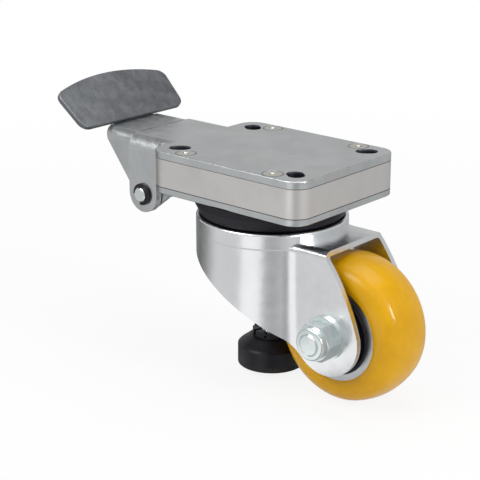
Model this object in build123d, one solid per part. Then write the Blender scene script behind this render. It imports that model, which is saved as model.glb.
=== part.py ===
"""Levelling castor: a swivel wheel with a pedal that drives a support foot down through the king pin.

Millimetres, +Z up.  The origin is the centre of the mounting face, on the swivel axis.
+X runs from the pedal to the wheel, and the wheel trails straight ahead on +X at rest.
"""
import os
from math import atan, cos, degrees, radians, sin, sqrt, tan

from build123d import *

os.makedirs("parts", exist_ok=True)

# ---------------------------------------------------------------- mounting head
head_length = 104.0
head_width = 85.0
head_corner_radius = 10.0
top_plate_thickness = 4.0
block_height = 16.0
bottom_plate_thickness = 3.5
plate_edge_round = 0.7
block_edge_chamfer = 0.4

bolt_spacing_x = 80.0
bolt_spacing_y = 60.0
slot_width = 9.0
slot_length = 12.0

rivet_spacing_x = 60.0
rivet_spacing_y = 72.0
rivet_shank_radius = 3.0
rivet_head_radius = 5.7
rivet_head_height = 2.4
rivet_dimple_radius = 2.0
rivet_dimple_depth = 0.5
rivet_dimple_bevel = 0.45
rivet_seat_gap = 0.15

# ---------------------------------------------------------------- pedal bracket on the top plate
tongue_length = 29.5
bracket_width = 56.0
bracket_bend_radius = 8.0
ear_width = 21.0
pivot_drop = 32.5
relief_end_half_width = 24.0

pivot_pin_radius = 4.0
pivot_pin_stand_out = 3.0
pivot_hole_gap = 0.05
clip_radius = 6.2
clip_thickness = 1.2
clip_groove_depth = 0.8
clip_gap_angle = 70.0
clip_offset = 0.05
clip_turn = 40.0
pin_chamfer = 0.5

# ---------------------------------------------------------------- pedal
lever_thickness = 3.0
lever_side_gap = 0.5
lever_end_gap = 0.5
lever_bend_radius = 6.0
lever_reach = 23.0
lever_boss_radius = 9.5
lever_heel_radius = 6.5
lever_heel_offset_x = 8.7
lever_heel_offset_z = 3.0
lever_toe_drop = 6.5
lever_toe_inset = 2.0
lever_toe_radius = 1.0
pedal_tilt = 41.0
pedal_tab_length = 20.0
pedal_tab_width = 32.0
pedal_thickness = 3.0
pedal_bottom_width = 81.0
pedal_top_width = 86.0
pedal_side_length = 26.0
pedal_arc_rise = 7.5
pedal_corner_radius = 6.0
pedal_edge_round = 0.6
pivot_sleeve_wall = 2.4

# ---------------------------------------------------------------- cam drive
pedal_swing = 37.0
horn_radius = 20.0
horn_width = 14.0
horn_tip_radius = 24.8
horn_corner_radius = 3.0
cross_pin_radius = 3.0
horn_slot_gap = 0.2
foot_travel = 8.0
cam_width = 20.0
cam_bar_thickness = 3.5
cam_eye_radius = 5.5
cam_side_gap = 0.3
cam_top_gap = 0.3
cam_end_flat = 3.0
ramp_lead = 1.6

# ---------------------------------------------------------------- foot spindle
spindle_radius = 6.0
spindle_head_radius = 8.0
roller_radius = 4.0
roller_width = 9.0
roller_pin_radius = 2.0
roller_clevis_radius = 3.2
roller_side_gap = 0.1
roller_ramp_gap = 0.08
spindle_head_height = 7.3
spring_wire_radial = 1.4
spring_wire_axial = 1.9
spring_turns = 6
spring_end_gap = 0.05
spring_bore_gap = 0.25

# ---------------------------------------------------------------- swivel bearing
king_flange_radius = 17.0
king_flange_thickness = 3.0
king_flange_sink = 1.5
king_pin_radius = 13.0
king_bore_gap = 0.08
king_floor_thickness = 8.0
king_pin_stand_out = 2.4
king_pin_chamfer = 1.0
bush_wall = 1.45
bush_flange_radius = 9.5
bush_flange_thickness = 1.2
spindle_bush_gap = 0.05
head_gap = 16.0
race_thickness = 4.5
race_outer_radius = 36.0
race_fit_gap = 0.05
ball_radius = 4.75
ball_circle_radius = 29.0
ball_count = 10
ball_groove_gap = 0.2
cage_thickness = 3.0
cage_width = 12.6
cage_pocket_gap = 0.2
thrust_ring_radius = 20.6
thrust_ring_thickness = 2.5
thrust_gap = 0.1
king_washer_thickness = 2.5
king_nut_radius = 18.5
king_nut_thickness = 8.0
king_nut_slots = 6
king_nut_slot_depth = 2.0
king_nut_slot_width = 4.0

seal_top_radius = 43.0
seal_wall = 1.7
seal_rim_height = 4.0
seal_rim_draft = 0.6
seal_waist_rise = 1.0
seal_waist_flare = 1.4
seal_lip_gap = 0.4
seal_shelf_gap = 1.5

# ---------------------------------------------------------------- fork
fork_thickness = 3.0
fork_radius = 41.5
fork_lip_height = 5.0
fork_lip_round = 1.35
fork_leg_width = 49.0
fork_crease_radius = 12.0
fork_shoulder_radius = 4.5
fork_inner_round = 1.5
fork_shelf_front_x = 55.6
fork_leg_end_radius = 21.0
fork_heel_drop = 8.5
fork_toe_angle = 12.0
fork_heel_angle = 226.0
fork_front_bow = (12.3, 24.5)
fork_heel_bow = (-53.0, 13.0)
fork_bore_radius = 15.0

# ---------------------------------------------------------------- wheel and axle
axle_offset = 56.0
axle_drop = 62.5
axle_radius = 6.0
axle_hole_gap = 0.05
axle_sleeve_radius = 8.5
wheel_radius = 40.0
wheel_core_width = 34.0
wheel_rim_radius = 25.5
wheel_rib_radius = 28.5
wheel_rib_width = 8.0
tread_crown_half = 11.5
tread_crown_drop = 1.8
tread_shoulder_out = 2.6
tread_shoulder_in = 1.0
roller_set_count = 12
needle_radius = 1.75
needle_length = 24.0
needle_gap = 0.03
needle_cage_length = 28.6
needle_cage_wall = 1.6
race_sleeve_wall = 1.9
cover_radius = 22.2
cover_thickness = 2.2
cover_bore_gap = 0.5
cover_rim_height = 0.8
cover_rim_width = 1.8
cover_rim_slope = 1.1

washer_radius = 12.0
washer_thickness = 1.6
nut_across_flats = 19.0
nut_hex_height = 8.0
nut_collar_radius = 8.8
nut_collar_height = 3.4
nut_collar_round = 1.2
nut_lip_thickness = 1.0
insert_wall = 1.4
hex_corner_slope = 0.45
bolt_head_height = 7.5
bolt_end_stand_out = 0.8
bolt_end_chamfer = 0.9

# ---------------------------------------------------------------- foot
ball_joint_radius = 7.5
ball_neck_radius = 5.0
ball_neck_length = 3.2
ball_socket_gap = 0.15
ball_seat_height = 14.4
socket_mouth_radius = 6.4
foot_collar_radius = 10.5
foot_height = 20.4
foot_collar_lugs = 8
foot_lug_slot_width = 2.0
foot_lug_slot_depth = 3.0
foot_cone_radius = 12.0
foot_cone_height = 16.4
foot_radius = 18.75
foot_skirt_height = 11.1
foot_skirt_round = 1.0
foot_sole_thickness = 3.0
foot_ground_gap = 3.6
sole_edge_round = 0.8
sole_groove_inner_radius = 10.3
sole_groove_outer_radius = 13.1
sole_groove_depth = 1.0

# ---------------------------------------------------------------- derived places
block_top_z = -top_plate_thickness
block_bottom_z = block_top_z - block_height
head_bottom_z = block_bottom_z - bottom_plate_thickness
head_left_x = -head_length / 2
tongue_end_x = head_left_x - tongue_length
pivot_x = tongue_end_x + ear_width / 2
ear_outer_y = bracket_width / 2
ear_inner_y = ear_outer_y - top_plate_thickness
cheek_outer_y = ear_inner_y - lever_side_gap
cheek_inner_y = cheek_outer_y - lever_thickness

half_swing = radians(pedal_swing / 2)
cam_travel = 2 * horn_radius * tan(half_swing)
ramp_slope = foot_travel / cam_travel
cross_pin_x = pivot_x + cam_travel / 2
cross_pin_z = -pivot_drop + horn_radius
cam_top_z = block_top_z - cam_top_gap
cam_bar_bottom_z = cam_top_z - cam_bar_thickness
ramp_normal = sqrt(1 + ramp_slope ** 2)
ramp_contact_x = roller_radius * ramp_slope / ramp_normal
ramp_start_x = ramp_contact_x - ramp_lead
ramp_end_x = ramp_contact_x + cam_travel + ramp_lead / 2
ramp_bottom_z = cam_bar_bottom_z - ramp_slope * (ramp_end_x - ramp_start_x)
cam_end_x = ramp_end_x + cam_end_flat
roller_z = (cam_bar_bottom_z + ramp_slope * ramp_start_x
            - (roller_radius + roller_ramp_gap) * ramp_normal)
clevis_floor_z = roller_z - roller_radius - cam_side_gap
spindle_shoulder_z = clevis_floor_z - spindle_head_height

king_flange_top_z = block_bottom_z + king_flange_sink
king_bore_radius = spindle_head_radius + king_bore_gap
bush_radius = spindle_radius + spindle_bush_gap + bush_wall
shelf_top_z = head_bottom_z - head_gap
shelf_bottom_z = shelf_top_z - fork_thickness
fork_lip_z = shelf_top_z + fork_lip_height
leg_outer_y = fork_leg_width / 2
leg_inner_y = leg_outer_y - fork_thickness
race_bore_radius = king_pin_radius + race_fit_gap
ball_centre_height = (head_bottom_z + shelf_top_z) / 2
thrust_top_z = shelf_bottom_z - thrust_gap
washer_top_z = thrust_top_z - thrust_ring_thickness
king_nut_top_z = washer_top_z - king_washer_thickness
king_pin_end_z = king_nut_top_z - king_nut_thickness - king_pin_stand_out
king_floor_z = king_pin_end_z + king_floor_thickness

axle_z = head_bottom_z - axle_drop
foot_bottom_z = axle_z - wheel_radius + foot_ground_gap
foot_top_z = foot_bottom_z + foot_height
foot_cone_top_z = foot_bottom_z + foot_cone_height
foot_shoulder_z = foot_bottom_z + foot_skirt_height
ball_centre_z = foot_bottom_z + ball_seat_height


# ---------------------------------------------------------------- small helpers
def disc(radius, low_z, high_z, x=0.0, y=0.0):
    """Upright solid cylinder between two heights."""
    return Pos(x, y, (low_z + high_z) / 2) * Cylinder(radius, high_z - low_z)


def ring(inner_radius, outer_radius, low_z, high_z):
    """Upright tube about the swivel axis."""
    return disc(outer_radius, low_z, high_z) - disc(inner_radius, low_z, high_z)


def block(low_x, high_x, low_y, high_y, low_z, high_z):
    """Box between two corners."""
    centre = Pos((low_x + high_x) / 2, (low_y + high_y) / 2, (low_z + high_z) / 2)
    return centre * Box(high_x - low_x, high_y - low_y, high_z - low_z)


def cross_rod(radius, x, z, low_y, high_y):
    """Solid cylinder lying along Y."""
    return Pos(x, (low_y + high_y) / 2, z) * Rot(90, 0, 0) * Cylinder(radius, high_y - low_y)


def patch(*corners):
    """Flat polygon whose corners run anticlockwise."""
    return Polygon(*corners, align=None)


def side_plate(profile, low_y, high_y):
    """Profile drawn in X and Z, given thickness along Y."""
    start = Plane(origin=(0, low_y, 0), x_dir=(1, 0, 0), z_dir=(0, -1, 0))
    return extrude(start * profile, high_y - low_y, dir=(0, 1, 0))


def turned(points_r_z):
    """Solid of revolution about the swivel axis from a closed outline of (radius, height)."""
    return revolve(Plane.XZ * make_face(Polyline(*points_r_z, close=True)), Axis.Z)


def on_axle(shape):
    """Moves a shape built round Z at the origin onto the axle, with its +Z end towards +Y."""
    return Pos(axle_offset, 0, axle_z) * Rot(-90, 0, 0) * shape


def save(name, shape):
    """Writes one physical piece."""
    export_step(shape, f"parts/{name}.step")


# ---------------------------------------------------------------- mounting head
def head_outline():
    return RectangleRounded(head_length, head_width, head_corner_radius)


def bolt_slots(low_z, high_z):
    """Four slots that point at the centre of the head."""
    slots = Sketch()
    for side_x in (-1, 1):
        for side_y in (-1, 1):
            x = side_x * bolt_spacing_x / 2
            y = side_y * bolt_spacing_y / 2
            turn = degrees(atan(y / x))
            slots += Pos(x, y) * Rot(0, 0, turn) * SlotOverall(slot_length, slot_width)
    return Pos(0, 0, low_z) * extrude(slots, high_z - low_z)


def rivet_places():
    half_x = rivet_spacing_x / 2
    half_y = rivet_spacing_y / 2
    return [(-half_x, -half_y), (half_x, -half_y), (-half_x, half_y), (half_x, half_y)]


def rivet_shape(gap):
    """Through rivet with a flush countersunk head at each end; the gap grows it into its hole."""
    head = rivet_head_radius + gap
    shank = rivet_shank_radius + gap / 3
    return turned([
        (0, 0), (head, 0), (shank, -rivet_head_height),
        (shank, head_bottom_z + rivet_head_height), (head, head_bottom_z), (0, head_bottom_z),
    ])


def rivet_holes():
    hole = rivet_shape(rivet_seat_gap)
    return [Pos(x, y, 0) * hole for x, y in rivet_places()]


def make_rivet(x, y):
    dimple = disc(rivet_dimple_radius, -rivet_dimple_depth, 0)
    dimple = chamfer(dimple.edges().group_by(Axis.Z)[0], rivet_dimple_bevel)
    return Pos(x, y, 0) * (rivet_shape(0) - dimple)


def bracket_section(outer_half, depth, radius, thickness):
    """Upside-down U in Y and Z: flat web, round bends and straight ears."""
    outer = Pos(0, -depth / 2) * Rectangle(2 * outer_half, depth)
    outer = fillet(outer.vertices().group_by(Axis.Y)[-1], radius)
    inner_half = outer_half - thickness
    inner = Pos(0, -thickness - depth / 2) * Rectangle(2 * inner_half, depth)
    inner = fillet(inner.vertices().group_by(Axis.Y)[-1], radius - thickness)
    return outer - inner


def channel_along_x(section, low_x, high_x):
    """Extrudes a Y-Z section from low_x to high_x."""
    return Pos(low_x, 0, 0) * extrude(Plane.YZ * section, high_x - low_x)


def make_top_plate():
    """Flat mounting plate whose left end is bent down into two ears for the pedal pivot."""
    plate = Pos(0, 0, -top_plate_thickness) * extrude(head_outline(), top_plate_thickness)
    plate = fillet(plate.edges().group_by(Axis.Z)[-1], plate_edge_round)
    ear_depth = pivot_drop + ear_width / 2
    section = bracket_section(ear_outer_y, ear_depth, bracket_bend_radius, top_plate_thickness)
    root_x = head_left_x + head_corner_radius
    tongue = channel_along_x(section, tongue_end_x, root_x)
    ear_right_x = tongue_end_x + ear_width
    relief_radius = (head_left_x - ear_right_x) / 2
    relief_x = head_left_x - relief_radius
    for side in (-1, 1):
        end_y = side * (relief_end_half_width + relief_radius)
        tongue -= disc(relief_radius, -ear_depth - 1, 1, relief_x, end_y)
        tongue -= block(ear_right_x, root_x + 1, min(end_y, side * ear_depth),
                        max(end_y, side * ear_depth), -ear_depth - 1, 1)
    tongue -= block(ear_right_x, root_x + 1, -ear_depth, ear_depth, -ear_depth - 1, block_top_z)
    rounding = Pos(pivot_x, -pivot_drop) * Circle(ear_width / 2)
    rounding += Pos(pivot_x, -pivot_drop / 2) * Rectangle(ear_width, pivot_drop)
    rounding += Pos(0, block_top_z / 2) * Rectangle(4 * head_length, top_plate_thickness * 2.5)
    tongue &= side_plate(rounding, -head_width, head_width)
    shape = plate + tongue
    shape -= bolt_slots(-top_plate_thickness - 1, 1)
    for hole in rivet_holes():
        shape -= hole
    hole_radius = pivot_pin_radius + pivot_hole_gap
    shape -= cross_rod(hole_radius, pivot_x, -pivot_drop, -head_width, head_width)
    return shape


def cam_channel():
    """Slot for the cam bar, open at the left end, with a deep pocket over the king pin."""
    half = cam_width / 2 + cam_side_gap
    end_x = cam_end_x + cam_side_gap
    bar = block(head_left_x - 1, end_x, -half, half,
                cam_bar_bottom_z - cam_side_gap, block_top_z + 1)
    deep_left_x = ramp_start_x - cam_travel - cam_side_gap
    pocket = block(deep_left_x, end_x, -half, half, ramp_bottom_z - cam_side_gap, block_top_z + 1)
    return bar + pocket


def make_spacer_block():
    """Aluminium block that carries the cam bar between the two plates."""
    shape = Pos(0, 0, block_bottom_z) * extrude(head_outline(), block_height)
    rims = shape.faces().filter_by(Axis.Z).edges()
    shape = chamfer(rims, block_edge_chamfer)
    shape -= cam_channel()
    flange_room = king_flange_radius + cam_side_gap
    shape -= disc(flange_room, block_bottom_z - 1, ramp_bottom_z - cam_side_gap)
    shape -= bolt_slots(block_bottom_z - 1, block_top_z + 1)
    for hole in rivet_holes():
        shape -= hole
    return shape


def make_bottom_plate():
    shape = Pos(0, 0, head_bottom_z) * extrude(head_outline(), bottom_plate_thickness)
    shape = fillet(shape.edges().group_by(Axis.Z)[0], plate_edge_round)
    recess_z = king_flange_top_z - king_flange_thickness
    shape -= disc(king_flange_radius + race_fit_gap, recess_z, block_bottom_z + 1)
    shape -= disc(king_pin_radius + race_fit_gap, head_bottom_z - 1, block_bottom_z)
    shape -= bolt_slots(head_bottom_z - 1, block_bottom_z + 1)
    for hole in rivet_holes():
        shape -= hole
    return shape


# ---------------------------------------------------------------- pedal pivot
def make_pivot_pin():
    half = ear_outer_y + pivot_pin_stand_out
    pin = cross_rod(pivot_pin_radius, pivot_x, -pivot_drop, -half, half)
    pin = chamfer(pin.edges().filter_by(GeomType.CIRCLE), pin_chamfer)
    for side in (-1, 1):
        near = side * (ear_outer_y + clip_offset)
        far = side * (ear_outer_y + clip_offset + clip_thickness)
        groove = cross_rod(pivot_pin_radius + 1, pivot_x, -pivot_drop, min(near, far), max(near, far))
        core = cross_rod(pivot_pin_radius - clip_groove_depth, pivot_x, -pivot_drop,
                         min(near, far), max(near, far))
        pin -= groove - core
    return pin


def make_pivot_clip(side):
    """Open retaining ring snapped into the groove at one end of the pivot pin."""
    inner_radius = pivot_pin_radius - clip_groove_depth
    reach = 3 * clip_radius
    spread = reach * tan(radians(clip_gap_angle / 2))
    opening = patch((0, 0), (-reach, spread), (-reach, -spread))
    outline = Circle(clip_radius) - Circle(inner_radius) - Rot(0, 0, clip_turn) * opening
    near = side * (ear_outer_y + clip_offset)
    far = side * (ear_outer_y + clip_offset + clip_thickness)
    return side_plate(Pos(pivot_x, -pivot_drop) * outline, min(near, far), max(near, far))


def make_pivot_sleeve():
    outer_radius = pivot_pin_radius + pivot_hole_gap + pivot_sleeve_wall
    tube = cross_rod(outer_radius, pivot_x, -pivot_drop, -cheek_inner_y, cheek_inner_y)
    return tube - cross_rod(pivot_pin_radius + pivot_hole_gap, pivot_x, -pivot_drop,
                            -cheek_inner_y, cheek_inner_y)


# ---------------------------------------------------------------- pedal
def horn_outline(length, width, corner):
    """Upright bar from the pivot, leaned towards the wheel by half of the pedal's swing."""
    bar = Pos(0, length / 2) * Rectangle(width, length)
    if corner:
        bar = fillet(bar.vertices().group_by(Axis.Y)[-1], corner)
    return Rot(0, 0, -pedal_swing / 2) * bar


def cheek_outline():
    """Side view of one cheek, drawn about the pivot."""
    web_right = tongue_end_x - lever_end_gap - pivot_x
    web_left = web_right - lever_reach
    top = pivot_drop
    toe_x = web_left + lever_toe_inset
    toe_z = top - lever_toe_drop
    boss = Circle(lever_boss_radius)
    heel = Pos(lever_heel_offset_x, lever_heel_offset_z) * Circle(lever_heel_radius)
    horn = horn_outline(horn_tip_radius, horn_width, horn_corner_radius)
    toe = Pos(toe_x + lever_toe_radius, toe_z) * Circle(lever_toe_radius)
    cheek = make_hull(boss.edges() + heel.edges() + horn.edges())
    cheek += make_hull(boss.edges() + toe.edges())
    cheek += patch((0, 0), (web_right, horn_radius), (web_right, top), (web_left, top),
                   (toe_x, toe_z))
    slot = horn_outline(2 * horn_tip_radius, 2 * (cross_pin_radius + horn_slot_gap), 0)
    root = horn_radius - cross_pin_radius - 2 * horn_slot_gap
    slot -= horn_outline(root, 2 * horn_width, 0)
    return cheek - slot


def make_pedal_lever():
    """Folded channel: a web, two cheeks with slotted horns, and a tab bent up under the pedal."""
    web_right = tongue_end_x - lever_end_gap
    web_left = web_right - lever_reach
    depth = pivot_drop + 2 * lever_boss_radius
    section = bracket_section(cheek_outer_y, depth, lever_bend_radius, lever_thickness)
    channel = channel_along_x(section, web_left - lever_thickness, -pivot_drop + horn_width)
    outline = Pos(pivot_x, -pivot_drop) * cheek_outline()
    channel &= side_plate(outline, -cheek_outer_y, cheek_outer_y)
    tilt = radians(pedal_tilt)
    step = lever_thickness * tan(tilt / 2)
    along = (-cos(tilt) * pedal_tab_length, sin(tilt) * pedal_tab_length)
    down = (-sin(tilt) * lever_thickness, -cos(tilt) * lever_thickness)
    strip = patch(
        (web_right, 0), (web_left, 0), (web_left + along[0], along[1]),
        (web_left + along[0] + down[0], along[1] + down[1]),
        (web_left - step, -lever_thickness), (web_right, -lever_thickness))
    tab = side_plate(strip, -pedal_tab_width / 2, pedal_tab_width / 2)
    lever = channel + tab
    lever -= cross_rod(pivot_pin_radius + pivot_hole_gap, pivot_x, -pivot_drop,
                       -bracket_width, bracket_width)
    return lever


def pedal_plane():
    """Plane of the tab's upper face: x runs up the tilted pedal, y runs along the pivot."""
    tilt = radians(pedal_tilt)
    web_left = tongue_end_x - lever_end_gap - lever_reach
    return Plane(origin=(web_left, 0, 0), x_dir=(-cos(tilt), 0, sin(tilt)),
                 z_dir=(sin(tilt), 0, cos(tilt)))


def make_pedal_plate():
    """Foot plate: straight lower edge, slightly flared sides and a bowed far edge."""
    low = pedal_bottom_width / 2
    high = pedal_top_width / 2
    sides = Polyline((pedal_side_length, high), (0, low), (0, -low), (pedal_side_length, -high))
    bow = ThreePointArc((pedal_side_length, -high), (pedal_side_length + pedal_arc_rise, 0),
                        (pedal_side_length, high))
    outline = make_face(sides.edges() + [bow])
    outline = fillet(outline.vertices(), pedal_corner_radius)
    plate = extrude(pedal_plane() * outline, pedal_thickness)
    return fillet(plate.edges(), pedal_edge_round)


# ---------------------------------------------------------------- cam drive
def make_cam_bar():
    """Sliding bar: an eye for the cross pin at one end and a ramp over the spindle roller."""
    profile = patch(
        (cross_pin_x, cam_bar_bottom_z), (ramp_start_x, cam_bar_bottom_z),
        (ramp_end_x, ramp_bottom_z), (cam_end_x, ramp_bottom_z), (cam_end_x, cam_top_z),
        (cross_pin_x, cam_top_z))
    neck_height = cam_top_z - cross_pin_z
    profile += Pos(cross_pin_x, cross_pin_z + neck_height / 2) * Rectangle(
        2 * cam_eye_radius, neck_height)
    profile += Pos(cross_pin_x, cross_pin_z) * Circle(cam_eye_radius)
    profile -= Pos(cross_pin_x, cross_pin_z) * Circle(cross_pin_radius + race_fit_gap)
    return side_plate(profile, -cam_width / 2, cam_width / 2)


def make_cross_pin():
    half = cheek_outer_y - horn_slot_gap
    pin = cross_rod(cross_pin_radius, cross_pin_x, cross_pin_z, -half, half)
    return chamfer(pin.edges().filter_by(GeomType.CIRCLE), pin_chamfer)


# ---------------------------------------------------------------- foot spindle
def make_spindle():
    """Round rod: a forked head for the roller at the top and a ball at the foot."""
    neck_top_z = ball_centre_z + ball_joint_radius + ball_neck_length
    rod = disc(spindle_radius, neck_top_z, spindle_shoulder_z)
    rod += disc(ball_neck_radius, ball_centre_z, neck_top_z)
    rod += Pos(0, 0, ball_centre_z) * Sphere(ball_joint_radius)
    head = disc(spindle_head_radius, spindle_shoulder_z, roller_z + roller_clevis_radius)
    side_view = Pos(0, roller_z) * Circle(roller_clevis_radius)
    side_view += Pos(0, (roller_z + spindle_shoulder_z) / 2) * Rectangle(
        2 * roller_clevis_radius, roller_z - spindle_shoulder_z)
    body_height = clevis_floor_z - spindle_shoulder_z
    side_view += Pos(0, spindle_shoulder_z + body_height / 2) * Rectangle(
        2 * spindle_head_radius, body_height)
    head &= side_plate(side_view, -spindle_head_radius, spindle_head_radius)
    half = roller_width / 2 + roller_side_gap
    head -= block(-spindle_head_radius, spindle_head_radius, -half, half,
                  clevis_floor_z, block_top_z)
    head -= cross_rod(roller_pin_radius + pivot_hole_gap, 0, roller_z,
                      -spindle_head_radius, spindle_head_radius)
    return rod + head


def make_cam_roller():
    roller = cross_rod(roller_radius, 0, roller_z, -roller_width / 2, roller_width / 2)
    return roller - cross_rod(roller_pin_radius + pivot_hole_gap, 0, roller_z,
                              -roller_width / 2, roller_width / 2)


def make_roller_pin():
    reach = sqrt(spindle_head_radius ** 2 - roller_pin_radius ** 2) - cam_side_gap
    return cross_rod(roller_pin_radius, 0, roller_z, -reach, reach)


def make_return_spring():
    """Flat-wire compression spring between the king pin's floor and the spindle head."""
    outer_radius = king_bore_radius - spring_bore_gap
    mean_radius = outer_radius - spring_wire_radial / 2
    low_z = king_floor_z + spring_end_gap
    high_z = spindle_shoulder_z - spring_end_gap
    pitch = (high_z - low_z - spring_wire_axial) / spring_turns
    path = Helix(pitch, pitch * spring_turns, mean_radius)
    path = Pos(0, 0, low_z + spring_wire_axial / 2) * path
    start = Plane(origin=path @ 0, x_dir=(1, 0, 0), z_dir=path % 0)
    wire = sweep(start * Rectangle(spring_wire_radial, spring_wire_axial), path=path, is_frenet=True)
    return wire & ring(mean_radius - spring_wire_radial, outer_radius + spring_bore_gap / 2,
                       low_z, high_z)


# ---------------------------------------------------------------- swivel bearing
def make_king_pin():
    """Hollow king pin: wide bore for the spindle head, narrow seat for the guide bush."""
    flange_low_z = king_flange_top_z - king_flange_thickness
    pin = disc(king_pin_radius, king_pin_end_z, flange_low_z)
    pin = chamfer(pin.edges().group_by(Axis.Z)[0], king_pin_chamfer)
    pin += disc(king_flange_radius, flange_low_z, king_flange_top_z)
    pin -= disc(king_bore_radius, king_floor_z, king_flange_top_z)
    pin -= disc(bush_radius, king_pin_end_z, king_floor_z)
    return pin


def make_spindle_bush():
    bore = spindle_radius + spindle_bush_gap
    bush = ring(bore, bush_radius, king_pin_end_z, king_floor_z - spring_end_gap)
    flange_low_z = king_pin_end_z - bush_flange_thickness
    return bush + ring(bore, bush_flange_radius, flange_low_z, king_pin_end_z)


def ball_groove(centre_z):
    """Ring-shaped groove tool that a ball race is cut with."""
    section = Pos(ball_circle_radius, centre_z) * Circle(ball_radius + ball_groove_gap)
    return revolve(Plane.XZ * section, Axis.Z)


def make_upper_race():
    race = ring(race_bore_radius, race_outer_radius, head_bottom_z - race_thickness, head_bottom_z)
    return race - ball_groove(ball_centre_height)


def make_fork_race():
    race = ring(fork_bore_radius, race_outer_radius, shelf_top_z, shelf_top_z + race_thickness)
    return race - ball_groove(ball_centre_height)


def make_swivel_balls():
    ball = Sphere(ball_radius)
    step = 360 / ball_count
    places = [Rot(0, 0, i * step) * Pos(ball_circle_radius, 0, ball_centre_height)
              for i in range(ball_count)]
    return Compound([place * ball for place in places])


def make_ball_cage():
    inner = ball_circle_radius - cage_width / 2
    outer = ball_circle_radius + cage_width / 2
    low_z = ball_centre_height - cage_thickness / 2
    cage = ring(inner, outer, low_z, low_z + cage_thickness)
    step = 360 / ball_count
    for i in range(ball_count):
        pocket = disc(ball_radius + cage_pocket_gap, low_z - 1, low_z + cage_thickness + 1,
                      ball_circle_radius)
        cage -= Rot(0, 0, i * step) * pocket
    return cage


def make_thrust_ring():
    return ring(race_bore_radius, thrust_ring_radius, washer_top_z, thrust_top_z)


def make_king_washer():
    return ring(race_bore_radius, thrust_ring_radius, king_nut_top_z, washer_top_z)


def make_king_nut():
    """Round locknut with spanner slots round its rim."""
    low_z = king_nut_top_z - king_nut_thickness
    nut = ring(race_bore_radius, king_nut_radius, low_z, king_nut_top_z)
    step = 360 / king_nut_slots
    for i in range(king_nut_slots):
        slot = block(king_nut_radius - king_nut_slot_depth, king_nut_radius + 1,
                     -king_nut_slot_width / 2, king_nut_slot_width / 2,
                     low_z - 1, king_nut_top_z + 1)
        nut -= Rot(0, 0, i * step) * slot
    return nut


def make_seal_ring():
    """Black flared dust skirt under the head, tucked inside the fork's raised lip."""
    foot_radius_out = fork_radius - fork_thickness - seal_lip_gap
    low_z = shelf_top_z + seal_shelf_gap
    waist_z = fork_lip_z + seal_waist_rise
    return turned([
        (seal_top_radius, head_bottom_z),
        (seal_top_radius - seal_rim_draft, head_bottom_z - seal_rim_height),
        (foot_radius_out + seal_waist_flare, waist_z),
        (foot_radius_out, waist_z - seal_waist_flare), (foot_radius_out, low_z),
        (foot_radius_out - seal_wall, low_z), (foot_radius_out - seal_wall, head_bottom_z),
    ])


# ---------------------------------------------------------------- fork
def fork_plan(radius, half_width, crease):
    """Plan of the fork: a round head that runs through a hollow crease into two parallel legs."""
    reach = 2 * axle_offset
    plan = Circle(radius) + Pos(reach / 2, 0) * Rectangle(reach, 2 * half_width)
    corner_x = sqrt(radius ** 2 - half_width ** 2)
    corners = plan.vertices().filter_by(lambda v: abs(v.X - corner_x) < 0.01)
    return fillet(corners, crease)


def fork_side_view():
    """Side view of the fork: heel, shelf front, slanted legs and round ends about the axle."""
    toe_angle = radians(fork_toe_angle)
    toe = (axle_offset + fork_leg_end_radius * cos(toe_angle),
           axle_z + fork_leg_end_radius * sin(toe_angle))
    heel_angle = radians(fork_heel_angle)
    heel = (axle_offset + fork_leg_end_radius * cos(heel_angle),
            axle_z + fork_leg_end_radius * sin(heel_angle))
    front = (fork_shelf_front_x, shelf_bottom_z)
    back = (-fork_radius - 1, shelf_bottom_z - fork_heel_drop)
    front_bow = (axle_offset + fork_front_bow[0], axle_z + fork_front_bow[1])
    heel_bow = (axle_offset + fork_heel_bow[0], axle_z + fork_heel_bow[1])
    edges = [
        ThreePointArc(front, front_bow, toe),
        ThreePointArc(toe, (axle_offset, axle_z - fork_leg_end_radius), heel),
        ThreePointArc(heel, heel_bow, back),
        Line(back, (back[0], fork_lip_z + 1)),
        Line((back[0], fork_lip_z + 1), (front[0], fork_lip_z + 1)),
        Line((front[0], fork_lip_z + 1), front),
    ]
    return make_face(edges)


def make_fork():
    """Deep-drawn fork: raised lip, flat shelf, wrapped skirt and two legs in one sheet."""
    low_z = axle_z - fork_leg_end_radius - 1
    outer = Pos(0, 0, low_z) * extrude(fork_plan(fork_radius, leg_outer_y, fork_crease_radius),
                                       shelf_top_z - low_z)
    shoulders = outer.edges().filter_by(Axis.X).group_by(Axis.Z)[-1]
    outer = fillet(shoulders, fork_shoulder_radius)
    inner = fork_plan(fork_radius - fork_thickness, leg_inner_y, fork_crease_radius + fork_thickness)
    hollow = Pos(0, 0, low_z - 1) * extrude(inner, shelf_bottom_z - low_z + 1)
    roots = hollow.edges().filter_by(Axis.X).group_by(Axis.Z)[-1]
    hollow = fillet(roots, fork_inner_round)
    lip = ring(fork_radius - fork_thickness, fork_radius, shelf_bottom_z, fork_lip_z)
    lip = fillet(lip.edges().group_by(Axis.Z)[-1], fork_lip_round)
    shape = outer - hollow + lip
    shape &= side_plate(fork_side_view(), -2 * fork_radius, 2 * fork_radius)
    shape -= disc(fork_bore_radius, shelf_bottom_z - 1, fork_lip_z)
    hole = axle_radius + axle_hole_gap
    shape -= cross_rod(hole, axle_offset, axle_z, -fork_leg_width, fork_leg_width)
    return shape


# ---------------------------------------------------------------- wheel
def turned_on_axle(points_r_y):
    """Solid of revolution about the axle from a closed outline of (radius, place along it)."""
    return on_axle(turned(points_r_y))


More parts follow.
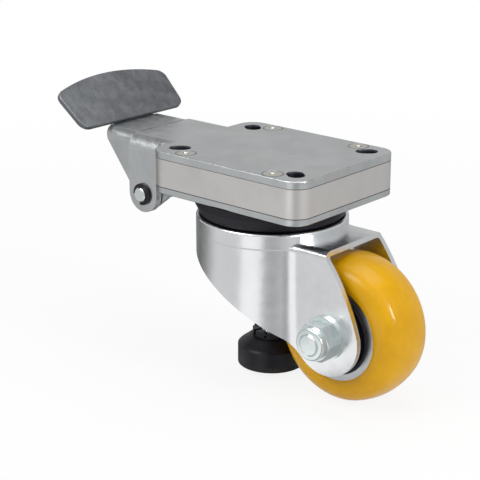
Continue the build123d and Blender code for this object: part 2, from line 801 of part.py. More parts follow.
def make_tread():
    """Crowned tyre moulded round the core, with full shoulders."""
    half = wheel_core_width / 2
    edge = wheel_radius - tread_crown_drop
    mid = (edge + wheel_rim_radius) / 2
    rib = wheel_rib_width / 2
    lines = [
        ThreePointArc((edge, -tread_crown_half), (wheel_radius, 0), (edge, tread_crown_half)),
        ThreePointArc((edge, tread_crown_half), (mid + tread_shoulder_out, half - tread_shoulder_in), (wheel_rim_radius, half)),
        Polyline((wheel_rim_radius, half), (wheel_rim_radius, rib), (wheel_rib_radius, rib),
                 (wheel_rib_radius, -rib), (wheel_rim_radius, -rib), (wheel_rim_radius, -half)),
        ThreePointArc((wheel_rim_radius, -half), (mid + tread_shoulder_out, tread_shoulder_in - half),
                      (edge, -tread_crown_half)),
    ]
    outline = make_face([edge for line in lines for edge in line.edges()])
    return on_axle(revolve(Plane.XZ * outline, Axis.Z))


def race_sleeve_radii():
    inner = axle_sleeve_radius + 2 * needle_radius + 2 * needle_gap
    return inner, inner + race_sleeve_wall


def make_wheel_core():
    """Turned core with a locking rib under the tread and a step at each face for the covers."""
    half = wheel_core_width / 2
    rib = wheel_rib_width / 2
    bore = race_sleeve_radii()[1]
    step = half - cover_thickness
    return turned_on_axle([
        (bore, -step), (cover_radius, -step), (cover_radius, -half), (wheel_rim_radius, -half),
        (wheel_rim_radius, -rib), (wheel_rib_radius, -rib), (wheel_rib_radius, rib),
        (wheel_rim_radius, rib), (wheel_rim_radius, half), (cover_radius, half),
        (cover_radius, step), (bore, step),
    ])


def make_race_sleeve():
    inner, outer = race_sleeve_radii()
    half = wheel_core_width / 2 - cover_thickness
    return on_axle(ring(inner, outer, -half, half))


def make_needle_rollers():
    centre = axle_sleeve_radius + needle_radius + needle_gap
    half = needle_length / 2
    step = 360 / roller_set_count
    needles = [on_axle(Rot(0, 0, i * step) * disc(needle_radius, -half, half, centre))
               for i in range(roller_set_count)]
    return Compound(needles)


def make_needle_cage():
    centre = axle_sleeve_radius + needle_radius + needle_gap
    inner = centre - needle_cage_wall / 2
    half = needle_cage_length / 2
    pocket_half = needle_length / 2 + roller_side_gap
    cage = ring(inner, inner + needle_cage_wall, -half, half)
    step = 360 / roller_set_count
    for i in range(roller_set_count):
        pocket = block(0, 2 * centre, -needle_radius - roller_side_gap,
                       needle_radius + roller_side_gap, -pocket_half, pocket_half)
        cage -= Rot(0, 0, i * step) * pocket
    return on_axle(cage)


def make_bearing_cover(side):
    """Black dust cover pressed into the step of the core, with a raised rim."""
    bore = axle_sleeve_radius + cover_bore_gap
    seat = wheel_core_width / 2 - cover_thickness
    face = wheel_core_width / 2
    rim_outer = cover_radius - cover_rim_slope
    rim_inner = rim_outer - cover_rim_width
    cover = turned([
        (bore, seat), (cover_radius, seat), (cover_radius, face),
        (rim_outer, face + cover_rim_height), (rim_inner, face + cover_rim_height),
        (rim_inner - cover_rim_slope, face), (bore, face),
    ])
    if side < 0:
        cover = Rot(180, 0, 0) * cover
    return on_axle(cover)


# ---------------------------------------------------------------- axle
def make_axle_sleeve():
    return on_axle(ring(axle_radius + axle_hole_gap, axle_sleeve_radius, -leg_inner_y, leg_inner_y))


def hexagon(across_flats, low_z, high_z):
    """Hexagonal prism with its corners cut back by a cone at the top."""
    corner = across_flats / sqrt(3)
    prism = Pos(0, 0, low_z) * extrude(RegularPolygon(corner, 6), high_z - low_z)
    cap = turned([(0, low_z), (2 * corner, low_z), (2 * corner, high_z - corner * hex_corner_slope),
                  (across_flats / 2, high_z), (0, high_z)])
    return prism & cap


def make_washer(side):
    near = leg_outer_y
    washer = ring(axle_radius + 2 * axle_hole_gap, washer_radius, near, near + washer_thickness)
    if side < 0:
        washer = Rot(180, 0, 0) * washer
    return on_axle(washer)


def make_axle_nut():
    """Self-locking nut: hexagon with a round collar that grips the nylon ring."""
    start = leg_outer_y + washer_thickness
    nut = hexagon(nut_across_flats, start, start + nut_hex_height)
    collar = disc(nut_collar_radius, start, start + nut_hex_height + nut_collar_height)
    collar = fillet(collar.edges().group_by(Axis.Z)[-1], nut_collar_round)
    nut += collar
    nut -= disc(axle_radius + axle_hole_gap / 2, start - 1, start + 2 * nut_hex_height)
    ring_seat = start + nut_hex_height
    nut -= disc(axle_radius + insert_wall, ring_seat,
                ring_seat + nut_collar_height - nut_lip_thickness)
    return on_axle(Rot(180, 0, 0) * nut)


def make_nut_insert():
    start = leg_outer_y + washer_thickness + nut_hex_height
    insert = ring(axle_radius + axle_hole_gap / 2, axle_radius + insert_wall, start,
                  start + nut_collar_height - nut_lip_thickness)
    return on_axle(Rot(180, 0, 0) * insert)


def make_axle_bolt():
    """Hexagon-headed axle bolt, head at the back and domed end through the nut."""
    head_start = leg_outer_y + washer_thickness
    end = -(head_start + nut_hex_height + nut_collar_height + bolt_end_stand_out)
    shank = disc(axle_radius, end, head_start)
    shank = chamfer(shank.edges().group_by(Axis.Z)[0], bolt_end_chamfer)
    return on_axle(shank + hexagon(nut_across_flats, head_start, head_start + bolt_head_height))


# ---------------------------------------------------------------- foot
def make_foot_socket():
    """Black moulded foot: castellated collar round the ball, cone and straight skirt."""
    sole_top_z = foot_bottom_z + foot_sole_thickness
    body = turned([
        (0, sole_top_z), (foot_radius, sole_top_z), (foot_radius, foot_shoulder_z),
        (foot_radius - foot_skirt_round, foot_shoulder_z + foot_skirt_round),
        (foot_cone_radius, foot_cone_top_z), (foot_collar_radius, foot_cone_top_z),
        (foot_collar_radius, foot_top_z), (0, foot_top_z),
    ])
    body -= Pos(0, 0, ball_centre_z) * Sphere(ball_joint_radius + ball_socket_gap)
    body -= disc(socket_mouth_radius, ball_centre_z, foot_top_z)
    step = 360 / foot_collar_lugs
    for i in range(foot_collar_lugs):
        slot = block(socket_mouth_radius - 1, foot_collar_radius + 1, -foot_lug_slot_width / 2,
                     foot_lug_slot_width / 2, foot_top_z - foot_lug_slot_depth, foot_top_z + 1)
        body -= Rot(0, 0, (i + 0.5) * step) * slot
    return body


def make_foot_sole():
    """Rubber sole with a ring groove in its tread face."""
    sole = disc(foot_radius, foot_bottom_z, foot_bottom_z + foot_sole_thickness)
    sole = fillet(sole.edges().group_by(Axis.Z)[0], sole_edge_round)
    groove = ring(sole_groove_inner_radius, sole_groove_outer_radius, foot_bottom_z,
                  foot_bottom_z + sole_groove_depth)
    return sole - groove


# ---------------------------------------------------------------- write every piece
def main():
    save("top_plate", make_top_plate())
    save("spacer_block", make_spacer_block())
    save("bottom_plate", make_bottom_plate())
    for i, (x, y) in enumerate(rivet_places(), 1):
        save(f"plate_rivet_{i}", make_rivet(x, y))
    save("king_pin", make_king_pin())
    save("spindle_bush", make_spindle_bush())
    save("upper_race", make_upper_race())
    save("thrust_ring", make_thrust_ring())
    save("king_washer", make_king_washer())
    save("king_nut", make_king_nut())
    save("seal_ring", make_seal_ring())
    save("pivot_pin", make_pivot_pin())
    save("pivot_clip_1", make_pivot_clip(-1))
    save("pivot_clip_2", make_pivot_clip(1))

    save("pedal_lever", make_pedal_lever())
    save("pedal_plate", make_pedal_plate())
    save("pivot_sleeve", make_pivot_sleeve())

    save("cam_bar", make_cam_bar())
    save("cross_pin", make_cross_pin())

    save("spindle", make_spindle())
    save("cam_roller", make_cam_roller())
    save("roller_pin", make_roller_pin())
    save("return_spring", make_return_spring())

    save("foot_socket", make_foot_socket())
    save("foot_sole", make_foot_sole())

    save("fork", make_fork())
    save("fork_race", make_fork_race())
    save("swivel_balls", make_swivel_balls())
    save("ball_cage", make_ball_cage())
    save("axle_bolt", make_axle_bolt())
    save("axle_nut", make_axle_nut())
    save("nut_insert", make_nut_insert())
    save("axle_washer_1", make_washer(-1))
    save("axle_washer_2", make_washer(1))
    save("axle_sleeve", make_axle_sleeve())

    save("tread", make_tread())
    save("wheel_core", make_wheel_core())
    save("race_sleeve", make_race_sleeve())
    save("needle_rollers", make_needle_rollers())
    save("needle_cage", make_needle_cage())
    save("bearing_cover_1", make_bearing_cover(-1))
    save("bearing_cover_2", make_bearing_cover(1))


main()
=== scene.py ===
# Levelling castor: finishes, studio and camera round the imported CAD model.
# Everything is in metres; the origin is the centre of the mounting face, on the swivel axis.
import math
import bpy
import numpy as np
from mathutils import Matrix, Vector


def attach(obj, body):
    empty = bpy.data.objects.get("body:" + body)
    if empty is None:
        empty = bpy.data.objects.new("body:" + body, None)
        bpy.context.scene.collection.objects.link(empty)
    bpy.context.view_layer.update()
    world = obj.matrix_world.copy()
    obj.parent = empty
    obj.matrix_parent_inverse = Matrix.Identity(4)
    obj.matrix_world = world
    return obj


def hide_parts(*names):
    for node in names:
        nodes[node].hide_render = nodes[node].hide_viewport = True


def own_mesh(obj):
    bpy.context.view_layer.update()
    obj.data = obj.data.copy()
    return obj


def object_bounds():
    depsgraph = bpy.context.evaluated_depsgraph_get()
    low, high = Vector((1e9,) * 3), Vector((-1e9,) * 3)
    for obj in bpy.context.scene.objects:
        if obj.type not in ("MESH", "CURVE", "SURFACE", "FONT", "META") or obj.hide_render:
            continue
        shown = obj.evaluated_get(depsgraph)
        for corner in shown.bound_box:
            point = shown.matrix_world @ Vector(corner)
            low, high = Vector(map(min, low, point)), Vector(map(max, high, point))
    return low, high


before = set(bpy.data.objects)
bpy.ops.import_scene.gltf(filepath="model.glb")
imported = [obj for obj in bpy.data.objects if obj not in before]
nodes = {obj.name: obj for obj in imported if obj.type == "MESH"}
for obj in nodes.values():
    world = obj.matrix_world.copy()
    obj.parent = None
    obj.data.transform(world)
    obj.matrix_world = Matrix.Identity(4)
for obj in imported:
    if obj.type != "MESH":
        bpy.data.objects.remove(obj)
cadLow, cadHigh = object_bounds()
print("frame loaded:", len(nodes), "nodes")


# ---- shader sums

class Wire:
    # one socket of a node tree that can be used in Python sums
    def __init__(self, paint, socket):
        self.paint = paint
        self.socket = socket

    def __add__(self, other):
        return self.paint.math("ADD", self, other)

    def __sub__(self, other):
        return self.paint.math("SUBTRACT", self, other)

    def __mul__(self, other):
        return self.paint.math("MULTIPLY", self, other)

    def __truediv__(self, other):
        return self.paint.math("DIVIDE", self, other)

    def __rsub__(self, other):
        return self.paint.math("SUBTRACT", other, self)

    __radd__ = __add__
    __rmul__ = __mul__


class Paint:
    # one material: a Principled shader and the nodes that feed it
    def __init__(self, name, tree=None):
        if tree is None:
            self.material = bpy.data.materials.new(name)
            self.material.use_nodes = True
            tree = self.material.node_tree
        self.tree = tree
        tree.nodes.clear()

    def node(self, kind, settings=None, inputs=None):
        made = self.tree.nodes.new(kind)
        for key, value in (settings or {}).items():
            if key == "stops":
                ramp = made.color_ramp
                while len(ramp.elements) < len(value):
                    ramp.elements.new(0.5)
                for element, (place, colour) in zip(ramp.elements, value):
                    element.position = place
                    element.color = (*colour, 1.0)
            else:
                setattr(made, key, value)
        for key, value in (inputs or {}).items():
            self.feed(made.inputs[key], value)
        return made

    def feed(self, socket, value):
        if isinstance(value, Wire):
            self.tree.links.new(value.socket, socket)
        elif socket.type == "RGBA" and len(value) == 3:
            socket.default_value = (*value, 1.0)
        else:
            socket.default_value = value

    def wire(self, made, name=0):
        return Wire(self, made.outputs[name])

    def math(self, operation, *values):
        return self.wire(self.node("ShaderNodeMath", {"operation": operation}, dict(enumerate(values))))

    def place(self, scale=(1, 1, 1), turn=(0, 0, 0), centre=(0, 0, 0)):
        # object coordinates, moved, turned and stretched
        where = self.wire(self.node("ShaderNodeTexCoord"), "Object")
        moved = self.node("ShaderNodeMapping", {"vector_type": "TEXTURE"},
                          {"Vector": where, "Location": centre, "Rotation": turn})
        sized = self.node("ShaderNodeMapping", {}, {"Vector": self.wire(moved), "Scale": scale})
        return self.wire(sized)

    def axes(self, where=None):
        split = self.node("ShaderNodeSeparateXYZ", {}, {"Vector": where or self.place()})
        return [self.wire(split, i) for i in range(3)]

    def reach(self, place=(0, 0)):
        # distance from the nearest of four upright axes, mirrored across both centre lines
        x, y = self.axes()[:2]
        across = self.math("ABSOLUTE", x) - place[0]
        along = self.math("ABSOLUTE", y) - place[1]
        return self.math("SQRT", across * across + along * along)

    def noise(self, scale, detail=2.0, roughness=0.5, where=None):
        made = self.node("ShaderNodeTexNoise", {},
                         {"Vector": where or self.place(), "Scale": scale, "Detail": detail,
                          "Roughness": roughness})
        return self.wire(made, "Fac")

    def step(self, value, low, high, bottom=0.0, top=1.0):
        # smooth step from bottom to top as value runs from low to high
        made = self.node("ShaderNodeMapRange", {"interpolation_type": "SMOOTHSTEP"},
                         {"Value": value, "From Min": low, "From Max": high, "To Min": bottom,
                          "To Max": top})
        return self.wire(made)

    def mix(self, factor, first, second, blend="MIX"):
        made = self.node("ShaderNodeMix", {"data_type": "RGBA", "blend_type": blend})
        self.feed(made.inputs[0], factor)
        self.feed(made.inputs[6], first)
        self.feed(made.inputs[7], second)
        return Wire(self, made.outputs[2])

    def bump(self, height, distance, strength=1.0, below=None):
        inputs = {"Height": height, "Distance": distance, "Strength": strength}
        if below is not None:
            inputs["Normal"] = below
        return self.wire(self.node("ShaderNodeBump", {}, inputs))

    def finish(self, **sockets):
        # sockets of the Principled shader; underscores stand for spaces
        shader = self.node("ShaderNodeBsdfPrincipled", {},
                           {key.replace("_", " "): value for key, value in sockets.items()})
        output = self.node("ShaderNodeOutputMaterial")
        self.tree.links.new(shader.outputs[0], output.inputs[0])
        return self.material


def coat(names, material):
    # gives CAD nodes or new pieces a finish
    for name in names:
        piece = nodes.get(name) or bpy.data.objects[name]
        piece.data.materials.clear()
        piece.data.materials.append(material)


# ---- finishes

zinc = {
    "dark": (0.535, 0.555, 0.56), "light": (0.63, 0.65, 0.66), "gold": (0.63, 0.63, 0.58),
    "blotch": 45.0, "cloud": 160.0, "grain": 2600.0, "rubs": 900.0, "rough": (0.30, 0.38),
    "ripple": 0.00002, "bloom": 0.35,
}


# where the bolt slots are, and the dark bluish colour of the painted shade on their walls
boltSlot = {
    "place": (0.040, 0.030), "reach": 0.0068, "depth": 0.0009, "wallShade": (0.10, 0.12, 0.19),
}


def slotWallShade(p, tone, slotShade):
    # painted shade: a dark bluish colour painted on the walls below the rims of the four bolt slots,
    # where shade falls
    below = p.math("LESS_THAN", p.axes()[2], -boltSlot["depth"])
    slotShadeMask = p.math("LESS_THAN", p.reach(boltSlot["place"]), boltSlot["reach"]) * below
    return p.mix(slotShadeMask * slotShade, tone, boltSlot["wallShade"])


def zincFinish(name, look, slotShade=0.0):
    # plated sheet: cloudy patches, a faint yellow-green bloom, fine grain and hairline rubs; where
    # asked, painted shade inside the bolt slots
    p = Paint(name)
    blotch = p.step(p.noise(look["blotch"], 3.0), 0.36, 0.66)
    cloud = p.step(p.noise(look["cloud"], 4.0, 0.6), 0.35, 0.7)
    bloom = p.step(p.noise(look["blotch"] * 0.6, 2.0), 0.52, 0.78)
    grain = p.noise(look["grain"], 2.0)
    tone = p.mix(blotch * 0.6 + cloud * 0.4, look["dark"], look["light"])
    tone = p.mix(bloom * look["bloom"], tone, look["gold"])
    # painted shade inside the bolt slots, where asked for
    if slotShade:
        tone = slotWallShade(p, tone, slotShade)
    rubs = p.noise(look["rubs"], 3.0, 0.6, p.place(scale=(0.06, 1.0, 1.0), turn=(0, 0, 0.5)))
    rubs = p.step(rubs, 0.62, 0.7)
    rough = cloud * (look["rough"][1] - look["rough"][0]) + look["rough"][0] - rubs * 0.05
    ripple = p.bump(p.noise(look["cloud"], 2.0), look["ripple"] * 10)
    fine = p.bump(grain, look["ripple"], 0.6, ripple)
    return p.finish(Base_Color=tone, Metallic=1.0, Roughness=rough, Normal=fine)


def rivetFinish(name, look):
    # flush rivet: a rolled rim painted dark as the shade of the seat gap round it, a dull face and a
    # bare centre, by distance from its own axis
    p = Paint(name)
    reach = p.reach(look["place"])
    rim = p.step(reach, look["face"] - look["rim"], look["face"] - look["rim"] * 0.4)
    stain = p.step(p.noise(500.0, 3.0), 0.42, 0.62)
    tone = p.mix(stain * 0.6, look["light"], look["gold"])
    # painted shade: the rim is darkened towards the rivet's dark colour
    tone = p.mix(rim * 0.8, tone, look["dark"])
    level = 0.24 + 0.16 * stain + 0.1 * rim
    rolled = p.bump(rim, 0.0003, 0.7)
    return p.finish(Base_Color=tone, Metallic=1.0, Roughness=level,
                    Normal=p.bump(p.noise(1800.0, 2.0), 0.00002, 0.6, rolled))


def turnedFinish(name, colour, tint, rough, rings=2200.0):
    # turned and plated steel: fine rings of grain and a drifting tint
    p = Paint(name)
    drift = p.step(p.noise(220.0, 3.0), 0.35, 0.7)
    tone = p.mix(drift, colour, tint)
    grain = p.noise(rings, 2.0)
    level = rough + 0.1 * p.noise(400.0, 3.0)
    return p.finish(Base_Color=tone, Metallic=1.0, Roughness=level, Normal=p.bump(grain, 0.00002, 0.5))


# heights of the spacer block's top and bottom, and the width and colour of the painted shade line along
# its joints
block = {"top": -0.004, "bottom": -0.020, "seam": 0.00055, "shade": (0.12, 0.12, 0.13)}


def milledFinish(name, colour, worn, rough, slotShade=0.0):
    # satin milled aluminium: long fine strokes along the faces, soft stains, dark joint lines painted
    # as shade where the plates meet the block, and where asked painted shade inside the bolt slots
    p = Paint(name)
    strokes = p.noise(1400.0, 3.0, 0.6, p.place(scale=(0.05, 0.05, 1.0)))
    stain = p.step(p.noise(60.0, 4.0, 0.6), 0.4, 0.7)
    tone = p.mix(stain * 0.7 + strokes * 0.3, colour, worn)
    # painted shade inside the bolt slots, where asked for
    if slotShade:
        tone = slotWallShade(p, tone, slotShade)
    # painted shade: a thin dark line along the block's top and bottom, where the plates meet it
    z = p.axes()[2]
    middle = (block["top"] + block["bottom"]) / 2
    reach = p.math("ABSOLUTE", z - middle) - (block["top"] - middle)
    tone = p.mix(p.step(reach, -block["seam"], -block["seam"] * 0.4) * 0.9, tone, block["shade"])
    level = rough + 0.12 * strokes + 0.06 * stain
    return p.finish(Base_Color=tone, Metallic=1.0, Roughness=level,
                    Normal=p.bump(strokes, 0.00002, 0.5))


def mouldedFinish(name, colour, faded, rough, grain=2400.0, depth=0.00003):
    # moulded plastic or rubber: dusty patches over a fine moulded texture
    p = Paint(name)
    dust = p.step(p.noise(110.0, 4.0, 0.6), 0.4, 0.75)
    tone = p.mix(dust, colour, faded)
    level = rough + 0.15 * dust
    return p.finish(Base_Color=tone, Roughness=level, Specular_IOR_Level=0.28,
                    Normal=p.bump(p.noise(grain, 2.0), depth))


tread = {
    "amber": (0.76, 0.40, 0.0), "deep": (0.66, 0.335, 0.0), "light": (0.82, 0.46, 0.0),
    "rough": 0.26,
}


def treadFinish(look):
    # cast polyurethane: rich amber, deeper in the thick parts, with a soft gloss
    p = Paint("amberTread")
    flow = p.step(p.noise(38.0, 3.0, 0.55), 0.35, 0.7)
    pale = p.step(p.noise(240.0, 3.0), 0.5, 0.75)
    tone = p.mix(flow * 0.8, look["amber"], look["deep"])
    tone = p.mix(pale * 0.25, tone, look["light"])
    level = look["rough"] + 0.1 * p.noise(300.0, 3.0)
    dull = p.bump(p.noise(160.0, 2.0), 0.0002, 0.25)
    return p.finish(Base_Color=tone, Roughness=level, Normal=dull, Subsurface_Weight=0.1,
                    Subsurface_Radius=(0.004, 0.002, 0.0001), Specular_IOR_Level=0.18,
                    Coat_Weight=0.4, Coat_Roughness=0.14)


# dark: the colour of the painted shade on each rivet's rim
rivet = {
    "place": (0.030, 0.036), "face": 0.0057, "rim": 0.0009, "light": (0.60, 0.61, 0.60),
    "gold": (0.66, 0.60, 0.44), "dark": (0.16, 0.17, 0.18),
}
fork = dict(zinc, dark=(0.80, 0.815, 0.83), light=(0.87, 0.885, 0.90), gold=(0.84, 0.84, 0.81),
            rough=(0.20, 0.27), ripple=0.00001)
finishes = {
    "platedSheet": zincFinish("platedSheet", zinc, slotShade=0.85),
    "platedFork": zincFinish("platedFork", fork),
    "rivetHeads": rivetFinish("rivetHeads", rivet),
    "milledBlock": milledFinish("milledBlock", (0.74, 0.72, 0.705), (0.68, 0.66, 0.645), 0.34,
                                slotShade=0.85),
    "turnedCore": turnedFinish("turnedCore", (0.74, 0.75, 0.77), (0.68, 0.69, 0.71), 0.26),
    "boltZinc": turnedFinish("boltZinc", (0.72, 0.79, 0.80), (0.80, 0.84, 0.83), 0.16),
    "groundSteel": turnedFinish("groundSteel", (0.62, 0.63, 0.65), (0.56, 0.57, 0.59), 0.12),
    "oiledSpring": turnedFinish("oiledSpring", (0.25, 0.25, 0.27), (0.33, 0.3, 0.28), 0.35),
    "blackClip": mouldedFinish("blackClip", (0.012, 0.011, 0.016), (0.03, 0.03, 0.036), 0.35),
    "blackSkirt": mouldedFinish("blackSkirt", (0.005, 0.004, 0.008), (0.011, 0.009, 0.016), 0.4),
    # painted shade: the pedal plate's zinc is made dark grey for the shadow and dark reflections on its
    # face
    "pedalShadedZinc": zincFinish("pedalShadedZinc", dict(
        zinc, dark=(0.19, 0.20, 0.215), light=(0.25, 0.26, 0.275), gold=(0.25, 0.25, 0.245),
        rough=(0.36, 0.46))),
    "blackNylon": mouldedFinish("blackNylon", (0.006, 0.005, 0.009), (0.014, 0.012, 0.018), 0.34),
    "soleRubber": mouldedFinish("soleRubber", (0.014, 0.013, 0.014), (0.04, 0.039, 0.038), 0.6),
    "bronzeBush": turnedFinish("bronzeBush", (0.56, 0.36, 0.14), (0.48, 0.32, 0.15), 0.35),
    "paleNylon": mouldedFinish("paleNylon", (0.72, 0.71, 0.64), (0.66, 0.64, 0.56), 0.4),
    "amberTread": treadFinish(tread),
}
wears = {
    "platedSheet": ["top_plate", "bottom_plate", "pedal_lever"],
    "platedFork": ["fork"],
    "rivetHeads": [f"plate_rivet_{i}" for i in range(1, 5)],
    "milledBlock": ["spacer_block"],
    "turnedCore": ["wheel_core"],
    "boltZinc": ["axle_bolt", "axle_nut", "axle_washer_1", "axle_washer_2", "pivot_pin", "spindle",
                 "king_nut", "king_washer", "pivot_sleeve", "cross_pin", "cam_bar", "king_pin"],
    "groundSteel": ["upper_race", "fork_race", "swivel_balls", "needle_rollers", "race_sleeve",
                    "axle_sleeve", "cam_roller", "roller_pin"],
    "oiledSpring": ["return_spring"],
    "blackClip": ["pivot_clip_1", "pivot_clip_2"],
    "blackSkirt": ["seal_ring"],
    "pedalShadedZinc": ["pedal_plate"],
    "blackNylon": ["foot_socket", "bearing_cover_1", "bearing_cover_2"],
    "soleRubber": ["foot_sole"],
    "bronzeBush": ["spindle_bush"],
    "paleNylon": ["ball_cage", "needle_cage", "thrust_ring", "nut_insert"],
    "amberTread": ["tread"],
}
for finish, names in wears.items():
    coat(names, finishes[finish])
print("finishes on:", sum(len(names) for names in wears.values()), "nodes")


# ---- the return spring: it stays on the king pin's floor

spring = {
    "meanRadius": 0.00713, "low": -0.04995, "high": -0.023933, "turns": 6, "flatTurns": 0.8,
    "wire": (0.0014, 0.0019), "squareness": 5.0, "stepsPerTurn": 56, "wireSides": 20,
    "endPitch": 1.02, "travel": 0.008,
}


def tubeMesh(name, rings):
    # skin over a run of closed rings, (count, sides, 3), with a flat cap at each end
    count, sides = rings.shape[:2]
    here = np.arange(count * sides).reshape(count, sides)
    ahead = np.roll(here, -1, axis=1)
    quads = np.stack([here[:-1], ahead[:-1], ahead[1:], here[1:]], axis=-1).reshape(-1, 4)
    caps = [here[0, ::-1].tolist(), here[-1].tolist()]
    mesh = bpy.data.meshes.new(name)
    mesh.from_pydata(rings.reshape(-1, 3).tolist(), [], quads.tolist() + caps)
    smooth = np.ones(len(mesh.polygons), bool)
    smooth[-2:] = False
    mesh.polygons.foreach_set("use_smooth", smooth)
    piece = bpy.data.objects.new(name, mesh)
    bpy.context.scene.collection.objects.link(piece)
    return piece


def makeSpring():
    # angle runs evenly; height stands still over the closed end turns and climbs evenly between
    wide, tall = spring["wire"]
    turns, flat = spring["turns"], spring["flatTurns"]
    turn = np.linspace(0, turns, turns * spring["stepsPerTurn"] + 1)
    climb = np.clip((turn - flat) / (turns - 2 * flat), 0, 1)
    gap = spring["endPitch"] * tall
    low, high = spring["low"] + tall / 2, spring["high"] - tall / 2
    closed = np.minimum(turn, flat) + np.maximum(turn - turns + flat, 0)
    height = low + gap * closed + climb * (high - low - 2 * gap * flat)
    # section: a rounded rectangle from equal powers of sine and cosine
    side = np.linspace(0, 2 * np.pi, spring["wireSides"], endpoint=False)
    power = 2 / spring["squareness"]
    across = np.sign(np.cos(side)) * np.abs(np.cos(side)) ** power * wide / 2
    upward = np.sign(np.sin(side)) * np.abs(np.sin(side)) ** power * tall / 2
    radius = spring["meanRadius"] + across[None, :]
    angle = 2 * np.pi * turn[:, None]
    rings = np.stack([radius * np.cos(angle), radius * np.sin(angle),
                      height[:, None] + upward[None, :]], axis=-1)
    piece = tubeMesh("coil_spring", rings)
    coat(["coil_spring"], finishes["oiledSpring"])
    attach(piece, "head")
    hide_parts("return_spring")
    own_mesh(piece)


makeSpring()
print("spring coiled")


# ---- studio: floor, soft lamps, sky and camera

studio = {
    "floorSize": 6.0, "floorTone": (0.86, 0.86, 0.86), "floorGlow": 0.88,
    "fadeFrom": 0.15, "fadeTo": 0.75,
    "skyDiffuse": 0.45, "skyLow": 0.6, "skyBack": 0.25, "skyFront": 1.1,
    "roofTurn": (-0.15, 0.45), "roofRise": (0.42, 0.7),
    # brightness of the floor in reflections: (world angle in degrees, level)
    "floorBands": [(-180, 0.16), (-160, 0.3), (-136, 0.72), (-97, 0.68), (-90, 1.05), (-68, 1.05),
                   (-60, 0.5), (-49, 0.42), (-25, 0.66), (49, 0.56), (110, 0.42), (180, 0.16)],
    # name: (place, aimed at, width, height, power)
    "lamps": {
        "keyLamp": ((-0.35, -0.75, 0.75), (0.0, 0.0, -0.05), 0.7, 0.5, 4.5),
        "fillLamp": ((0.85, -0.02, 0.32), (0.05, 0.0, -0.08), 0.16, 0.24, 2.6),
        "topLamp": ((0.0, 0.15, 0.95), (0.0, 0.0, 0.0), 0.9, 0.9, 4.0),
    },
}


camera = {
    "azimuth": 41.173, "elevation": 18.536, "distance": 0.7693014, "lens": 107.8833,
    "across": -0.0176104, "above": -0.0483860,  # place of the lens axis from the origin
}


def makeFloor():
    # a large flat sheet under the wheel, as pale to the lens as it is in daylight
    half = studio["floorSize"] / 2
    low = cadLow.z - 0.0002
    mesh = bpy.data.meshes.new("floor")
    mesh.from_pydata([(-half, -half, low), (half, -half, low), (half, half, low), (-half, half, low)],
                     [], [(0, 1, 2, 3)])
    floor = bpy.data.objects.new("floor", mesh)
    bpy.context.scene.collection.objects.link(floor)
    p = Paint("paleFloor")
    rays = p.node("ShaderNodeLightPath")
    eye, glossy = p.wire(rays, "Is Camera Ray"), p.wire(rays, "Is Glossy Ray")
    x, y = p.axes()[:2]
    angle = p.math("ARCTAN2", y, x) / (2 * math.pi) + 0.5
    stops = [(turn / 360 + 0.5, (level,) * 3) for turn, level in studio["floorBands"]]
    bands = p.wire(p.node("ShaderNodeValToRGB", {"stops": stops}, {"Fac": angle}))
    tone = p.mix(glossy, (1, 1, 1), bands)
    paper = p.node("ShaderNodeBsdfDiffuse", {}, {"Color": studio["floorTone"]})
    glow = p.node("ShaderNodeEmission", {}, {"Color": tone, "Strength": 1.0})
    # the floor fades to plain white away from the castor
    share = p.step(p.reach(), studio["fadeFrom"], studio["fadeTo"], studio["floorGlow"], 1.0)
    mixed = p.node("ShaderNodeMixShader", {}, {0: p.math("MAXIMUM", eye * share, glossy)})
    p.tree.links.new(paper.outputs[0], mixed.inputs[1])
    p.tree.links.new(glow.outputs[0], mixed.inputs[2])
    output = p.node("ShaderNodeOutputMaterial")
    p.tree.links.new(mixed.outputs[0], output.inputs[0])
    mesh.materials.append(p.material)


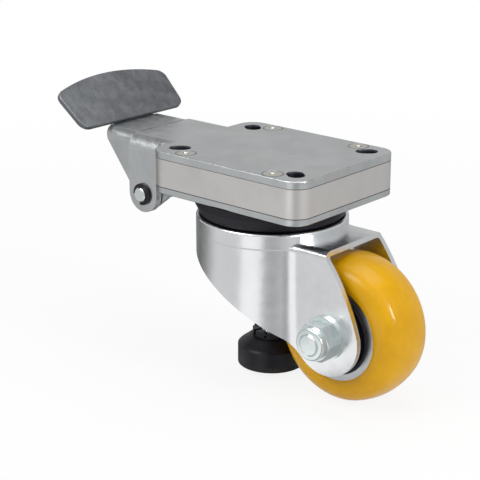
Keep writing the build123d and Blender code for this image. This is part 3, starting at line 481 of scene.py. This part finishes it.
def makeSky():
    # white to the lens, even grey as light, and in reflections a soft tent whose roof is bright
    # on the camera's side and dark on the far side
    world = bpy.data.worlds.new("studioSky")
    bpy.context.scene.world = world
    world.use_nodes = True
    p = Paint("studioSky", world.node_tree)
    rays = p.node("ShaderNodeLightPath")
    outward = p.wire(p.node("ShaderNodeTexCoord"), "Generated")
    way = p.node("ShaderNodeSeparateXYZ", {}, {"Vector": outward})
    turn = math.radians(camera["azimuth"])
    facing = p.wire(way, 0) * math.sin(turn) - p.wire(way, 1) * math.cos(turn)
    roof = p.step(facing, *studio["roofTurn"], studio["skyBack"], studio["skyFront"])
    high = p.step(p.wire(way, 2), *studio["roofRise"])
    tent = studio["skyLow"] + high * (roof - studio["skyLow"])
    level = studio["skyDiffuse"] + p.wire(rays, "Is Glossy Ray") * (tent - studio["skyDiffuse"])
    seen = p.math("MAXIMUM", p.wire(rays, "Is Camera Ray"), p.wire(rays, "Is Transmission Ray"))
    level = level + seen * (1.0 - level)
    background = p.node("ShaderNodeBackground", {}, {"Color": (1, 1, 1), "Strength": level})
    output = p.node("ShaderNodeOutputWorld")
    p.tree.links.new(background.outputs[0], output.inputs[0])


def makeLamps():
    for name, (place, target, width, height, power) in studio["lamps"].items():
        lamp = bpy.data.lights.new(name, "AREA")
        lamp.shape = "RECTANGLE"
        lamp.size, lamp.size_y, lamp.energy = width, height, power
        holder = bpy.data.objects.new(name, lamp)
        bpy.context.scene.collection.objects.link(holder)
        holder.location = place
        holder.rotation_euler = (Vector(target) - Vector(place)).to_track_quat("-Z", "Y").to_euler()


def makeCamera():
    # looks along one direction, set off sideways and up from the origin
    turn, lift = math.radians(camera["azimuth"]), math.radians(camera["elevation"])
    ahead = Vector((-math.sin(turn) * math.cos(lift), math.cos(turn) * math.cos(lift), -math.sin(lift)))
    right = Vector((math.cos(turn), math.sin(turn), 0))
    above = right.cross(ahead)
    lens = bpy.data.cameras.new("camera")
    lens.lens, lens.sensor_width = camera["lens"], 36.0
    lens.clip_start, lens.clip_end = 0.01, 50.0
    holder = bpy.data.objects.new("camera", lens)
    bpy.context.scene.collection.objects.link(holder)
    place = right * camera["across"] + above * camera["above"] - ahead * camera["distance"]
    spin = Matrix((right, above, -ahead)).transposed().to_4x4()
    holder.matrix_world = Matrix.Translation(place) @ spin
    bpy.context.scene.camera = holder


makeFloor()
makeSky()
makeLamps()
makeCamera()
bpy.context.scene.view_settings.view_transform = "Standard"
print("studio ready")
